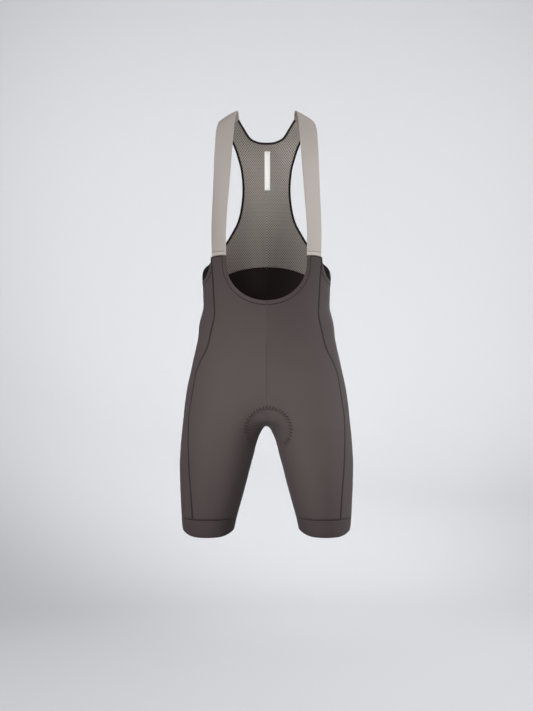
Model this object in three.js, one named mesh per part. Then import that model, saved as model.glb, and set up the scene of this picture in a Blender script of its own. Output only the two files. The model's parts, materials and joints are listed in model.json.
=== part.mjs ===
// Cycling bib shorts in their worn, filled-out form: millimetres, +Z up, front towards -Y.
// The origin lies midway between the tops of the two straps, where the shoulders carry them.
import * as THREE from 'three';

// Cloth walls
const KNIT = 1.5;
const MESH = 1.2;
const ELASTIC = 1.6;
const BAND = 2.0;
const BINDING = 2.2;
const TAPE = 0.5;
const SEAM_GAP = 0.3;

// Levels and widths
const JOIN_LEVEL = -440;
const FORK_TOP = -500;
const CROTCH = -662.5;
const FORK_ONSET = 1.8;
const BAND_TOP = -853.5;
const HEM = -890.5;
const HEM_LIFT = 11;
const BINDING_WIDTH = 5.6;
const NECK = { halfWidth: 82.5, centre: -325, drop: 78.5, side: -311 };
const STRAP_BASE = { inner: 82.5, outer: 112.6, level: -311, slope: -1.5, arch: 1.5 };
const LABEL = { x: 2, width: 12, top: -74.5, bottom: -157 };

// Horizontal sections of the worn form. outer is the half-width of the whole garment,
// front and back its depth, middle the depth of the side line, and the last two columns
// how square the oval is in front and behind (2 is an ellipse).
const SECTIONS = [
  { z: 10, outer: 118, front: -10, back: 4, middle: 0, squareFront: 2.3, squareBack: 2.2 },
  { z: -15, outer: 122, front: -30, back: 28, middle: 0, squareFront: 2.3, squareBack: 2.2 },
  { z: -33, outer: 126, front: -50, back: 45, middle: 0, squareFront: 2.3, squareBack: 2.2 },
  { z: -54, outer: 131, front: -66, back: 66, middle: 0, squareFront: 2.3, squareBack: 2.2 },
  { z: -80, outer: 136, front: -80, back: 83, middle: 0, squareFront: 2.3, squareBack: 2.2 },
  { z: -110, outer: 141, front: -90, back: 94, middle: 0, squareFront: 2.3, squareBack: 2.2 },
  { z: -156, outer: 146, front: -98, back: 99, middle: 0, squareFront: 2.3, squareBack: 2.2 },
  { z: -200, outer: 148, front: -102, back: 97, middle: 0, squareFront: 2.3, squareBack: 2.2 },
  { z: -250, outer: 147, front: -103, back: 91, middle: 0, squareFront: 2.3, squareBack: 2.2 },
  { z: -300, outer: 141, front: -100, back: 83, middle: 0, squareFront: 2.3, squareBack: 2.2 },
  { z: -345, outer: 136.5, front: -99, back: 77, middle: 0, squareFront: 2.3, squareBack: 2.2 },
  { z: -361, outer: 134, front: -99.5, back: 76, middle: 0, squareFront: 2.3, squareBack: 2.2 },
  { z: -385, outer: 133, front: -101, back: 74.5, middle: 0, squareFront: 2.3, squareBack: 2.2 },
  { z: -411, outer: 133.5, front: -103, back: 75, middle: 0, squareFront: 2.3, squareBack: 2.2 },
  { z: -436, outer: 137, front: -104, back: 79, middle: 0, squareFront: 2.3, squareBack: 2.2 },
  { z: -462, outer: 142, front: -104, back: 86, middle: 1, squareFront: 2.3, squareBack: 2.2 },
  { z: -499, outer: 148, front: -103, back: 99, middle: 2, squareFront: 2.35, squareBack: 2.2 },
  { z: -537, outer: 156, front: -101, back: 112, middle: 5, squareFront: 2.4, squareBack: 2.15 },
  { z: -575, outer: 165, front: -98.5, back: 120, middle: 8, squareFront: 2.4, squareBack: 2.1 },
  { z: -613, outer: 171, front: -96.5, back: 120, middle: 8, squareFront: 2.4, squareBack: 2.1 },
  { z: -651, outer: 175, front: -94, back: 112, middle: 8, squareFront: 2.4, squareBack: 2.1 },
  { z: -701, outer: 180, front: -90, back: 100, middle: 5, squareFront: 2.25, squareBack: 2.05 },
  { z: -751, outer: 182, front: -85, back: 90, middle: 2, squareFront: 2.1, squareBack: 2 },
  { z: -815, outer: 180, front: -77, back: 78, middle: 0, squareFront: 2.05, squareBack: 2 },
  { z: -853, outer: 178, front: -71.5, back: 70, middle: -1, squareFront: 2, squareBack: 2 },
  { z: -900, outer: 173, front: -65, back: 62, middle: -1, squareFront: 2, squareBack: 2 },
];

// Half the space between the legs below the crotch.
const LEG_SPACE = [
  { z: CROTCH, half: 0.2 },
  { z: -664.5, half: 4.2 },
  { z: -668, half: 7.4 },
  { z: -676, half: 12.2 },
  { z: -688, half: 17.6 },
  { z: -701, half: 21.9 },
  { z: -726, half: 28 },
  { z: -751, half: 35 },
  { z: -777, half: 41.5 },
  { z: -814, half: 51.5 },
  { z: -852, half: 62 },
  { z: -900, half: 72 },
];

// Distance of the front and back edges of the side panel from the middle of the garment.
const SIDE_SEAMS = [
  { z: -300, front: 112.8, back: 112 },
  { z: -328, front: 113, back: 112 },
  { z: -343.5, front: 111.6, back: 111 },
  { z: -360, front: 110, back: 108 },
  { z: -380, front: 109, back: 104 },
  { z: -420, front: 107.2, back: 99 },
  { z: -437, front: 108.4, back: 99.5 },
  { z: -463, front: 113.7, back: 104 },
  { z: -502, front: 123.5, back: 113 },
  { z: -524, front: 134.8, back: 121 },
  { z: -553, front: 146, back: 130 },
  { z: -580, front: 151.5, back: 136 },
  { z: -611, front: 156.4, back: 141 },
  { z: -645, front: 161, back: 145 },
  { z: -683, front: 161.8, back: 147 },
  { z: -721, front: 161, back: 146 },
  { z: -759, front: 159, back: 144 },
  { z: -797, front: 156, back: 141 },
  { z: -860, front: 152, back: 136 },
];

// Top edge of the side and seat panels, by degrees round the section from the inside of
// the leg over the front: the armhole first, then the seam under the yoke.
const TOP_EDGE = [
  { degrees: 138, z: -309 },
  { degrees: 140.4, z: -312.5 },
  { degrees: 142.4, z: -324 },
  { degrees: 145, z: -334.5 },
  { degrees: 150.8, z: -348.5 },
  { degrees: 160, z: -357 },
  { degrees: 172, z: -360.2 },
  { degrees: 182, z: -360.8 },
  { degrees: 200, z: -357.2 },
  { degrees: 218, z: -351 },
  { degrees: 235, z: -341.5 },
  { degrees: 245, z: -333.5 },
  { degrees: 253, z: -329 },
  { degrees: 261, z: -326.2 },
  { degrees: 270, z: -325.2 },
];

// Bound edge of the back armhole, from under the arm to the shoulder.
const ARM_EDGE = [
  { degrees: 182, z: -355.8 },
  { degrees: 188, z: -348 },
  { degrees: 196, z: -336.5 },
  { degrees: 204, z: -327.5 },
  { degrees: 212, z: -319.5 },
  { degrees: 223, z: -299 },
  { degrees: 234, z: -273 },
  { degrees: 241.4, z: -246 },
  { degrees: 245.4, z: -226 },
  { degrees: 248.2, z: -198 },
  { degrees: 249.4, z: -163 },
  { degrees: 248.4, z: -130 },
  { degrees: 245.5, z: -101 },
  { degrees: 238, z: -63 },
  { degrees: 226, z: -33 },
];

// Bound edge of the back neckline, from the middle to the shoulder.
const BACK_NECK = [
  { x: 0, z: -57.5 },
  { x: 12, z: -57 },
  { x: 24, z: -54 },
  { x: 34, z: -48.8 },
  { x: 41, z: -40.3 },
  { x: 46, z: -33 },
  { x: 52.5, z: -23.6 },
  { x: 58, z: -15 },
];

// Cross sections of a strap from the front panel over the shoulder to the yoke.
const STRAP = [
  { inX: 82.5, inY: -84, inZ: -311, outX: 112.6, outY: -65, outZ: -312.5, camber: 1.8 },
  { inX: 83, inY: -87.5, inZ: -270, outX: 113.3, outY: -69, outZ: -270, camber: 1.8 },
  { inX: 81, inY: -90, inZ: -225, outX: 112.1, outY: -73, outZ: -226, camber: 1.8 },
  { inX: 77.3, inY: -88, inZ: -180, outX: 110, outY: -72, outZ: -182, camber: 1.7 },
  { inX: 73.8, inY: -80, inZ: -135, outX: 108.6, outY: -66, outZ: -139, camber: 1.6 },
  { inX: 71, inY: -66, inZ: -95, outX: 107.6, outY: -55, outZ: -101, camber: 1.5 },
  { inX: 68.7, inY: -47, inZ: -58, outX: 106.2, outY: -40, outZ: -68, camber: 1.3 },
  { inX: 66.6, inY: -28, inZ: -29, outX: 104.5, outY: -25, outZ: -44, camber: 1.1 },
  { inX: 64.4, inY: -13, inZ: -9.5, outX: 101.4, outY: -11, outZ: -29, camber: 1 },
  { inX: 61.4, inY: 0, inZ: 0, outX: 97.3, outY: 4, outZ: -21.5, camber: 1 },
  { inX: 59.4, inY: 14, inZ: -3.5, outX: 93, outY: 20, outZ: -23, camber: 1 },
  { inX: 58, inY: 28, inZ: -14, outX: 90, outY: 36, outZ: -32, camber: 1 },
];

const LEVELS = [
  -440, -464, -490, -517, -543, -567, -589, -608, -624, -637, -648, -655, -660, -662.5,
  -664.5, -668.5, -675, -685, -701, -724, -751, -779, -806, -831, BAND_TOP + SEAM_GAP / 2,
];
const TOP_ROWS = 5;
const FRONT_COLUMNS = { neck: 10, strap: 4 };
const SIDE_COLUMNS = 9;
const SIDE_CROWDING = 1.35;
const SIDE_END = 218;
const SEAT_COLUMNS = 12;
const YOKE_COLUMNS = 12;
const YOKE_ROWS = { back: 14, neck: 9, split: -88 };
const BAND_COLUMNS = 32;
const STRAP_ROWS = 26;
const FINE_STEPS = 130;
const LABEL_CLEARANCE = 0.5;
const STRAP_END_GAP = 1.5;
const STRAP_STEP = 0.1;
const ASIDE = 0.05;

const RIGHT_ANGLE = Math.PI / 2;
const radians = THREE.MathUtils.degToRad;
const mix = THREE.MathUtils.lerp;

// A smooth curve through one column of a table, without overshoot between its rows.
function through(rows, key, value) {
  const points = rows.map((row) => [row[key], row[value]]).sort((a, b) => a[0] - b[0]);
  const last = points.length - 1;
  const slope = [];
  for (let i = 0; i < last; i += 1) {
    slope.push((points[i + 1][1] - points[i][1]) / (points[i + 1][0] - points[i][0]));
  }
  const tangent = points.map((point, i) => {
    if (i === 0) return slope[0];
    if (i === last) return slope[last - 1];
    if (slope[i - 1] * slope[i] <= 0) return 0;
    const before = points[i][0] - points[i - 1][0];
    const after = points[i + 1][0] - points[i][0];
    const mean = (slope[i - 1] * after + slope[i] * before) / (before + after);
    const limit = 2 * Math.min(Math.abs(slope[i - 1]), Math.abs(slope[i]));
    return Math.sign(mean) * Math.min(Math.abs(mean), limit);
  });
  return (at) => {
    let i = 0;
    while (i < last - 1 && at > points[i + 1][0]) i += 1;
    const span = points[i + 1][0] - points[i][0];
    const t = THREE.MathUtils.clamp((at - points[i][0]) / span, 0, 1);
    const rise = slope[i] * span;
    const a = tangent[i] * span - rise;
    const b = rise - tangent[i + 1] * span;
    return mix(points[i][1], points[i + 1][1], t) + t * (1 - t) * (a * (1 - t) + b * t);
  };
}

const outerAt = through(SECTIONS, 'z', 'outer');
const frontAt = through(SECTIONS, 'z', 'front');
const backAt = through(SECTIONS, 'z', 'back');
const middleAt = through(SECTIONS, 'z', 'middle');
const squareFrontAt = through(SECTIONS, 'z', 'squareFront');
const squareBackAt = through(SECTIONS, 'z', 'squareBack');
const legSpaceAt = through(LEG_SPACE, 'z', 'half');
const frontSeamAt = through(SIDE_SEAMS, 'z', 'front');
const backSeamAt = through(SIDE_SEAMS, 'z', 'back');
const topEdgeAt = through(TOP_EDGE, 'degrees', 'z');

// The oval of one half of the garment at a level. Its centre moves out from the middle
// towards the leg as the body forks.
function oval(z) {
  const outer = outerAt(z);
  let centre = 0;
  if (z <= CROTCH) {
    centre = (outer + legSpaceAt(z)) / 2;
  } else if (z < FORK_TOP) {
    const fork = ((FORK_TOP - z) / (FORK_TOP - CROTCH)) ** FORK_ONSET;
    centre = (outer * fork) / (1 + fork);
  }
  const middle = middleAt(z);
  return {
    centre,
    middle,
    half: outer - centre,
    front: middle - frontAt(z),
    back: backAt(z) - middle,
    squareFront: squareFrontAt(z),
    squareBack: squareBackAt(z),
  };
}

// A point of the cloth's outer face, by level and angle round the oval: 0 on the inside
// of the leg, a right angle in front, 180 degrees on the outside and 270 behind.
function surface({ angle, z }) {
  const form = oval(z);
  const inFront = Math.sin(angle) >= 0;
  const square = inFront ? form.squareFront : form.squareBack;
  const across = Math.abs(Math.cos(angle)) ** square;
  const along = Math.abs(Math.sin(angle)) ** square;
  const reach = (across + along) ** (-1 / square);
  const depth = inFront ? form.front : form.back;
  return new THREE.Vector3(
    form.centre - form.half * reach * Math.cos(angle),
    form.middle - depth * reach * Math.sin(angle),
    z,
  );
}

function outward({ angle, z }) {
  const stepAngle = 0.004;
  const stepLevel = 0.5;
  const round = surface({ angle: angle + stepAngle, z });
  round.sub(surface({ angle: angle - stepAngle, z }));
  const down = surface({ angle, z: z - stepLevel });
  down.sub(surface({ angle, z: z + stepLevel }));
  return down.cross(round).normalize();
}

// The place on the surface nearest to a point just off it.
function placeOf(point) {
  const form = oval(point.z);
  const side = (point.x - form.centre) / form.half;
  const deep = form.middle - point.y;
  const angle = Math.atan2(deep / (deep > 0 ? form.front : form.back), -side);
  return { angle: angle < 0 ? angle + 2 * Math.PI : angle, z: point.z };
}

// The place at a distance x from the middle of the garment, in front or behind.
function placeAcross(x, z, inFront) {
  const form = oval(z);
  const side = THREE.MathUtils.clamp((x - form.centre) / form.half, -1, 1);
  const square = inFront ? form.squareFront : form.squareBack;
  const deep = (1 - Math.abs(side) ** square) ** (1 / square);
  const angle = Math.atan2(inFront ? deep : -deep, -side);
  return { angle: angle < 0 ? angle + 2 * Math.PI : angle, z };
}

function between(a, b, t) {
  return { angle: mix(a.angle, b.angle, t), z: mix(a.z, b.z, t) };
}

// Moves each place of an edge into the cloth, square to the edge.
function inset(edge, distance) {
  const points = edge.map(surface);
  return edge.map((place, i) => {
    const ahead = points[Math.min(i + 1, edge.length - 1)];
    const behind = points[Math.max(i - 1, 0)];
    const inwards = ahead.clone().sub(behind).cross(outward(place)).normalize();
    return placeOf(points[i].clone().addScaledVector(inwards, distance));
  });
}

// Resamples an edge evenly along its length on the surface.
function evenly(edge, count) {
  const points = edge.map(surface);
  const lengths = [0];
  for (let i = 1; i < points.length; i += 1) {
    lengths.push(lengths[i - 1] + points[i].distanceTo(points[i - 1]));
  }
  const result = [];
  let i = 0;
  for (let step = 0; step <= count; step += 1) {
    const target = (lengths[lengths.length - 1] * step) / count;
    while (i < edge.length - 2 && lengths[i + 1] < target) i += 1;
    const t = (target - lengths[i]) / (lengths[i + 1] - lengths[i]);
    result.push(between(edge[i], edge[i + 1], t));
  }
  return result;
}

// The four-sided cells of a grid; a ring joins its last column to its first.
function cells(rows, columns, ring = false) {
  const quads = [];
  const at = (j, i) => j * columns + (i % columns);
  for (let j = 0; j < rows - 1; j += 1) {
    for (let i = 0; i < (ring ? columns : columns - 1); i += 1) {
      quads.push([at(j, i), at(j + 1, i), at(j + 1, i + 1), at(j, i + 1)]);
    }
  }
  return quads;
}

// A closed wall between the two faces of a sheet. The cells are the same on both, and an
// edge that only one cell has gets a rim.
function wall(outside, inside, quads) {
  const count = outside.length;
  const position = [...outside, ...inside].flatMap((p) => [p.x, p.y, p.z]);
  const index = [];
  const open = new Map();
  quads.forEach((quad) => {
    const [a, b, c, d] = quad;
    index.push(a, b, c, a, c, d);
    index.push(count + a, count + c, count + b, count + a, count + d, count + c);
    quad.forEach((from, i) => {
      const to = quad[(i + 1) % 4];
      if (!open.delete(`${to} ${from}`)) open.set(`${from} ${to}`, [from, to]);
    });
  });
  open.forEach(([a, b]) => index.push(b, a, count + a, b, count + a, count + b));
  if (volume(position, index) < 0) index.reverse();
  const geometry = new THREE.BufferGeometry();
  geometry.setAttribute('position', new THREE.Float32BufferAttribute(position, 3));
  geometry.setIndex(index);
  geometry.computeVertexNormals();
  return geometry;
}

function volume(position, index) {
  const corner = (i) => new THREE.Vector3().fromArray(position, index[i] * 3);
  let sum = 0;
  for (let i = 0; i < index.length; i += 3) {
    sum += corner(i).dot(corner(i + 1).cross(corner(i + 2))) / 6;
  }
  return sum;
}

// Cloth of one thickness over a grid of places; side is -1 on the wearer's right.
// lift stands it off the surface, and trim draws its first and last columns in by half
// the gap of a seam, where trim says so.
function cloth(places, { thickness, side = 1, lift = 0, trim = [], ring = false }) {
  const outside = [];
  const inside = [];
  places.forEach((row) => {
    const shell = row.map((place, i) => {
      const point = surface(place);
      const normal = outward(place);
      const end = i === 0 ? trim[0] : i === row.length - 1 ? trim[1] : undefined;
      if (end && end(place)) {
        const next = row[i === 0 ? 1 : i - 1];
        const aside = { angle: mix(place.angle, next.angle, ASIDE), z: place.z };
        const step = surface(aside).sub(point);
        point.addScaledVector(step.normalize(), SEAM_GAP / 2);
      }
      const under = point.clone().addScaledVector(normal, lift - thickness);
      point.addScaledVector(normal, lift);
      point.x *= side;
      under.x *= side;
      return { point, under };
    });
    outside.push(...shell.map((pair) => pair.point));
    inside.push(...shell.map((pair) => pair.under));
  });
  return wall(outside, inside, cells(places.length, places[0].length, ring));
}

// Rows of a body panel: from its top edge down to the join level, then the shared levels.
// inner and outer give the place of its two long edges at a level.
function panel(top, inner, outer) {
  const rows = [];
  const first = top[0];
  const last = top[top.length - 1];
  const cell = (place, z, share, pull) => {
    const left = inner(z.left);
    const right = outer(z.right);
    const even = between(left, right, share);
    const straight = between(first, last, share);
    return {
      angle: even.angle + pull * (place.angle - straight.angle),
      z: even.z + pull * (place.z - straight.z),
    };
  };
  for (let j = 0; j < TOP_ROWS; j += 1) {
    const t = j / TOP_ROWS;
    const z = { left: mix(first.z, JOIN_LEVEL, t), right: mix(last.z, JOIN_LEVEL, t) };
    rows.push(top.map((place, i) => cell(place, z, i / (top.length - 1), 1 - t)));
  }
  LEVELS.forEach((level) => {
    const z = { left: level, right: level };
    rows.push(top.map((place, i) => cell(place, z, i / (top.length - 1), 0)));
  });
  return rows;
}

// Edges shared by the panels. The middle edges stand off the middle of the garment by
// half a seam's gap, and below the crotch they are the inside leg seam.
const middleFront = (z) => placeAcross(SEAM_GAP / 2, z, true);
const middleBack = (z) => {
  const place = placeAcross(SEAM_GAP / 2, z, false);
  return { angle: place.angle < RIGHT_ANGLE ? place.angle + 2 * Math.PI : place.angle, z };
};
const seamFront = (z) => placeAcross(frontSeamAt(z), z, true);
const seamBack = (z) => placeAcross(backSeamAt(z), z, false);
const always = () => true;
const belowCrotch = (place) => place.z <= CROTCH;

// Strap end on the front panel: share runs from the neck to the armhole.
function strapBase(share) {
  const { inner, outer, level, slope, arch } = STRAP_BASE;
  const z = level + slope * share + arch * 4 * share * (1 - share);
  return placeAcross(mix(inner, outer, share), z, true);
}

function frontTop() {
  const top = [];
  const arc = (Math.PI / 4) * (NECK.halfWidth + NECK.drop);
  const length = arc + NECK.side - NECK.centre;
  for (let i = 0; i < FRONT_COLUMNS.neck; i += 1) {
    const run = (length * i) / FRONT_COLUMNS.neck;
    const turn = Math.min(run / arc, 1) * RIGHT_ANGLE;
    const x = Math.max(NECK.halfWidth * Math.sin(turn), SEAM_GAP / 2);
    const z = NECK.centre - NECK.drop * Math.cos(turn) + Math.max(run - arc, 0);
    top.push(placeAcross(x, z, true));
  }
  for (let i = 0; i <= FRONT_COLUMNS.strap; i += 1) {
    top.push(strapBase(i / FRONT_COLUMNS.strap));
  }
  return top;
}

const sideStart = strapBase(1);
const sideEnd = { angle: radians(SIDE_END), z: topEdgeAt(SIDE_END) };

function onTopEdge(angle) {
  return { angle, z: topEdgeAt(THREE.MathUtils.radToDeg(angle)) };
}

function sideTop() {
  const top = [];
  for (let i = 0; i <= SIDE_COLUMNS; i += 1) {
    const share = (i / SIDE_COLUMNS) ** SIDE_CROWDING;
    const place = onTopEdge(mix(sideStart.angle, sideEnd.angle, share));
    top.push(i === 0 ? sideStart : place);
  }
  return top;
}

function seatTop() {
  const top = [];
  for (let i = 0; i <= SEAT_COLUMNS; i += 1) {
    top.push(onTopEdge(mix(sideEnd.angle, 3 * RIGHT_ANGLE, i / SEAT_COLUMNS)));
  }
  return top;
}

function frontPanel(side) {
  const places = panel(frontTop(), middleFront, seamFront);
  return cloth(places, { thickness: KNIT, side, trim: [belowCrotch, always] });
}

function sidePanel(side) {
  const places = panel(sideTop(), seamFront, seamBack);
  return cloth(places, { thickness: KNIT, side, trim: [always, always] });
}

function seatPanel(side) {
  const places = panel(seatTop(), seamBack, middleBack);
  return cloth(places, { thickness: KNIT, side, trim: [always, belowCrotch] });
}

// Hem band of a leg: a ring whose lower edge rises a little at the inside and outside.
function legBand(side) {
  const top = BAND_TOP - SEAM_GAP / 2;
  const places = [0, 0.33, 0.67, 1].map((down) => {
    const row = [];
    for (let i = 0; i < BAND_COLUMNS; i += 1) {
      const angle = (2 * Math.PI * i) / BAND_COLUMNS;
      const lowest = HEM + HEM_LIFT * Math.cos(angle) ** 4;
      row.push({ angle, z: mix(top, lowest, down) });
    }
    return row;
  });
  return cloth(places, { thickness: BAND, side, ring: true });
}

// Bound edges of the yoke, and its own edge inside each binding
function edgeThrough(table, placeAt) {
  const rows = table.map((row, i) => ({ ...row, step: i }));
  const columns = Object.keys(table[0]).map((key) => through(rows, 'step', key));
  const fine = [];
  for (let i = 0; i <= FINE_STEPS; i += 1) {
    const at = (i * (rows.length - 1)) / FINE_STEPS;
    fine.push(placeAt(...columns.map((column) => column(at))));
  }
  return fine;
}

const armFine = edgeThrough(ARM_EDGE, (degrees, z) => ({ angle: radians(degrees), z }));
const armSplit = armFine.findIndex((place) => place.z > YOKE_ROWS.split);
const armEdge = [
  ...evenly(armFine.slice(0, armSplit + 1), YOKE_ROWS.back),
  ...evenly(armFine.slice(armSplit), YOKE_ROWS.neck).slice(1),
];
const neckFine = edgeThrough(BACK_NECK, (x, z) => placeAcross(x, z, false));
const neckEdge = evenly(neckFine, YOKE_ROWS.neck);

const BINDING_LIFT = (BINDING - MESH) / 2;

function armBinding(side) {
  const under = inset(armEdge, BINDING_WIDTH);
  const places = armEdge.map((place, i) => [place, between(place, under[i], 0.5), under[i]]);
  return cloth(places, { thickness: BINDING, side, lift: BINDING_LIFT });
}

function faced(place, height, side) {
  const point = surface(place).addScaledVector(outward(place), height);
  point.x *= side;
  return point;
}

// A piece that crosses the middle, from the places of its left half. The first place of
// each joined row lies on the middle.
function mirrored(half, { thickness, lift = 0, joined = half.length }) {
  const columns = half[0].length;
  const places = half.flat();
  const quads = cells(half.length, columns);
  const outside = places.map((place) => faced(place, lift, 1));
  const inside = places.map((place) => faced(place, lift - thickness, 1));
  const twin = places.map((place, i) => {
    if (i % columns === 0 && i / columns < joined) return i;
    outside.push(faced(place, lift, -1));
    inside.push(faced(place, lift - thickness, -1));
    return outside.length - 1;
  });
  const mirror = quads.map((quad) => quad.map((i) => twin[i]).reverse());
  return wall(outside, inside, [...quads, ...mirror]);
}

// The neckline's edge moved into the cloth; it starts on the middle of the back.
function underNeck(distance) {
  const under = inset([...neckEdge].reverse(), distance).reverse();
  under[0].angle = 3 * RIGHT_ANGLE;
  return under;
}

function neckBinding() {
  const under = underNeck(BINDING_WIDTH);
  const middle = neckEdge.map((place, i) => between(place, under[i], 0.5));
  return mirrored([neckEdge, middle, under], { thickness: BINDING, lift: BINDING_LIFT });
}

// The yoke's cloth: rows from the middle of the back, and above it from the neckline,
// out to the armhole
function yoke() {
  const room = BINDING_WIDTH + SEAM_GAP;
  const outer = inset(armEdge, room);
  const neck = underNeck(room);
  const lowest = { angle: 3 * RIGHT_ANGLE, z: topEdgeAt(270) + SEAM_GAP };
  const rows = outer.map((edge, j) => {
    const above = j - YOKE_ROWS.back;
    const inner = above > 0 ? neck[above] : between(lowest, neck[0], j / YOKE_ROWS.back);
    const arch = Math.max(1 - j / YOKE_ROWS.back, 0);
    const row = [];
    for (let i = 0; i <= YOKE_COLUMNS; i += 1) {
      const place = between(inner, edge, i / YOKE_COLUMNS);
      const seam = onTopEdge(mix(lowest.angle, outer[0].angle, i / YOKE_COLUMNS));
      const straight = mix(lowest.z, outer[0].z, i / YOKE_COLUMNS);
      row.push({ angle: place.angle, z: place.z + arch * (seam.z + SEAM_GAP - straight) });
    }
    return row;
  });
  return mirrored(rows, { thickness: MESH, joined: YOKE_ROWS.back + 1 });
}

// A strap: sections between its two edges, bowed a little outwards
function strap(side) {
  const steps = STRAP.map((row, i) => ({ ...row, step: i }));
  const column = (name) => through(steps, 'step', name);
  const edgeIn = ['inX', 'inY', 'inZ'].map(column);
  const edgeOut = ['outX', 'outY', 'outZ'].map(column);
  const camber = column('camber');
  const read = (edge, at) => new THREE.Vector3(...edge.map((axis) => axis(at)));
  const outside = [];
  const inside = [];
  for (let j = 0; j <= STRAP_ROWS; j += 1) {
    const at = (j * (STRAP.length - 1)) / STRAP_ROWS;
    const a = read(edgeIn, at);
    const b = read(edgeOut, at);
    const ahead = read(edgeIn, at + STRAP_STEP).add(read(edgeOut, at + STRAP_STEP));
    const behind = read(edgeIn, at - STRAP_STEP).add(read(edgeOut, at - STRAP_STEP));
    const along = ahead.sub(behind).normalize();
    const normal = b.clone().sub(a).cross(along).normalize();
    const shell = [];
    for (let i = 0; i <= FRONT_COLUMNS.strap; i += 1) {
      const share = i / FRONT_COLUMNS.strap;
      let point = a.clone().lerp(b, share);
      point.addScaledVector(normal, camber(at) * 4 * share * (1 - share));
      let facing = normal;
      if (j === 0 || j === STRAP_ROWS) {
        const place = j === 0 ? strapBase(share) : shoulderSeam(share);
        point = surface(place);
        facing = outward(place);
        point.addScaledVector(along, j === 0 ? SEAM_GAP : -STRAP_END_GAP);
      }
      const under = point.clone().addScaledVector(facing, -ELASTIC);
      point.x *= side;
      under.x *= side;
      shell.push({ point, under });
    }
    outside.push(...shell.map((pair) => pair.point));
    inside.push(...shell.map((pair) => pair.under));
  }
  return wall(outside, inside, cells(STRAP_ROWS + 1, FRONT_COLUMNS.strap + 1));
}

function shoulderSeam(share) {
  return between(neckEdge[YOKE_ROWS.neck], armEdge[armEdge.length - 1], share);
}

// Label sewn inside the yoke, one face against the mesh
function label() {
  const rows = [0, 0.2, 0.4, 0.6, 0.8, 1].map((down) => {
    const z = mix(LABEL.top, LABEL.bottom, down);
    return [-0.5, 0, 0.5].map((share) => {
      const x = LABEL.x + share * LABEL.width;
      const place = placeAcross(Math.abs(x), z, false);
      return { place, side: Math.sign(x) || 1 };
    });
  });
  const depth = -(MESH + LABEL_CLEARANCE);
  const layer = (height) => rows.flat().map(({ place, side }) => faced(place, height, side));
  return wall(layer(depth), layer(depth - TAPE), cells(rows.length, rows[0].length));
}

const COLOURS = {
  knit: { color: '#5c5252', roughness: 0.75 },
  mesh: { color: '#91897f', roughness: 0.8 },
  elastic: { color: '#b6ada5', roughness: 0.7 },
  binding: { color: '#1b1213', roughness: 0.85 },
  tape: { color: '#ebece6', roughness: 0.6 },
};

function piece(name, geometry, finish) {
  const material = new THREE.MeshStandardMaterial({ metalness: 0, ...COLOURS[finish] });
  const mesh = new THREE.Mesh(geometry, material);
  mesh.name = name;
  return mesh;
}

const bibShorts = new THREE.Group();
for (const [hand, side] of [['left', 1], ['right', -1]]) {
  bibShorts.add(
    piece(`front_${hand}`, frontPanel(side), 'knit'),
    piece(`side_${hand}`, sidePanel(side), 'knit'),
    piece(`seat_${hand}`, seatPanel(side), 'knit'),
    piece(`leg_band_${hand}`, legBand(side), 'knit'),
    piece(`strap_${hand}`, strap(side), 'elastic'),
    piece(`arm_binding_${hand}`, armBinding(side), 'binding'),
  );
}
bibShorts.add(
  piece('yoke', yoke(), 'mesh'),
  piece('neck_binding', neckBinding(), 'binding'),
  piece('label', label(), 'tape'),
);

export default bibShorts;
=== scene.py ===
# Looks of the cycling bib shorts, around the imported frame: metres, +Z up, front towards -Y.
# Sizes below are millimetres, as on the pattern, and MM turns them into metres.
import bisect
import functools
import json
import math

import bmesh
import bpy
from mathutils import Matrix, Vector

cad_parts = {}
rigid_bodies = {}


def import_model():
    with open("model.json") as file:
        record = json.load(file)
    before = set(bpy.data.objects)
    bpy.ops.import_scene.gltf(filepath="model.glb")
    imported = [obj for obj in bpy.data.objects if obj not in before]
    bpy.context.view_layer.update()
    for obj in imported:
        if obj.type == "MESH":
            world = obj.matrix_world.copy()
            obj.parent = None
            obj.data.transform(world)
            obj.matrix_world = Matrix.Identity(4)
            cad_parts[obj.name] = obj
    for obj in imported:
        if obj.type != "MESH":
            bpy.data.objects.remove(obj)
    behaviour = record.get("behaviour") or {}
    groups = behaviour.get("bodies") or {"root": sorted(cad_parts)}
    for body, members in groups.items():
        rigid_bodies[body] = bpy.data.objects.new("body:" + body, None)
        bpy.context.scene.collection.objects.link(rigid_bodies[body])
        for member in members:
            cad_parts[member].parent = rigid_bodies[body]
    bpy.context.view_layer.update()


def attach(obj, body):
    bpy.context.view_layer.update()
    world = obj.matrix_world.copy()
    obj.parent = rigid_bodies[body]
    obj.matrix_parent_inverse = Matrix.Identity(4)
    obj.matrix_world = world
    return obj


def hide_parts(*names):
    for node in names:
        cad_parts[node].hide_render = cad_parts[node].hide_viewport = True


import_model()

MM = 0.001
RIGHT_ANGLE = math.pi / 2
BEHIND = 3 * RIGHT_ANGLE

# Cloth
KNIT = 1.5
MESH = 1.2
ELASTIC = 1.6
BAND = 2.0
BINDING = 2.2
BINDING_WIDTH = 5.6
BINDING_TAPE = 0.6
TAPE = 0.5
LABEL_CLEARANCE = 0.5

# Levels and widths
JOIN_LEVEL = -440
FORK_TOP = -500
FORK_ONSET = 1.8
CROTCH = -662.5
BAND_TOP = -853.5
HEM = -890.5
HEM_LIFT = 11
HEM_FOLD = 7.8
SEAM_GAP = 0.3
NECK = {"half_width": 82.5, "centre": -325, "drop": 78.5, "side": -311}
STRAP_BASE = {"inner": 82.5, "outer": 112.6, "level": -311, "slope": -1.5, "arch": 1.5}
LABEL = {"x": 2, "width": 12, "top": -74.5, "bottom": -157}
TOP_SHARE = 0.24
NECK_SHARE = 10 / 14
SIDE_CROWDING = 1.35
SIDE_END = 218

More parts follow.
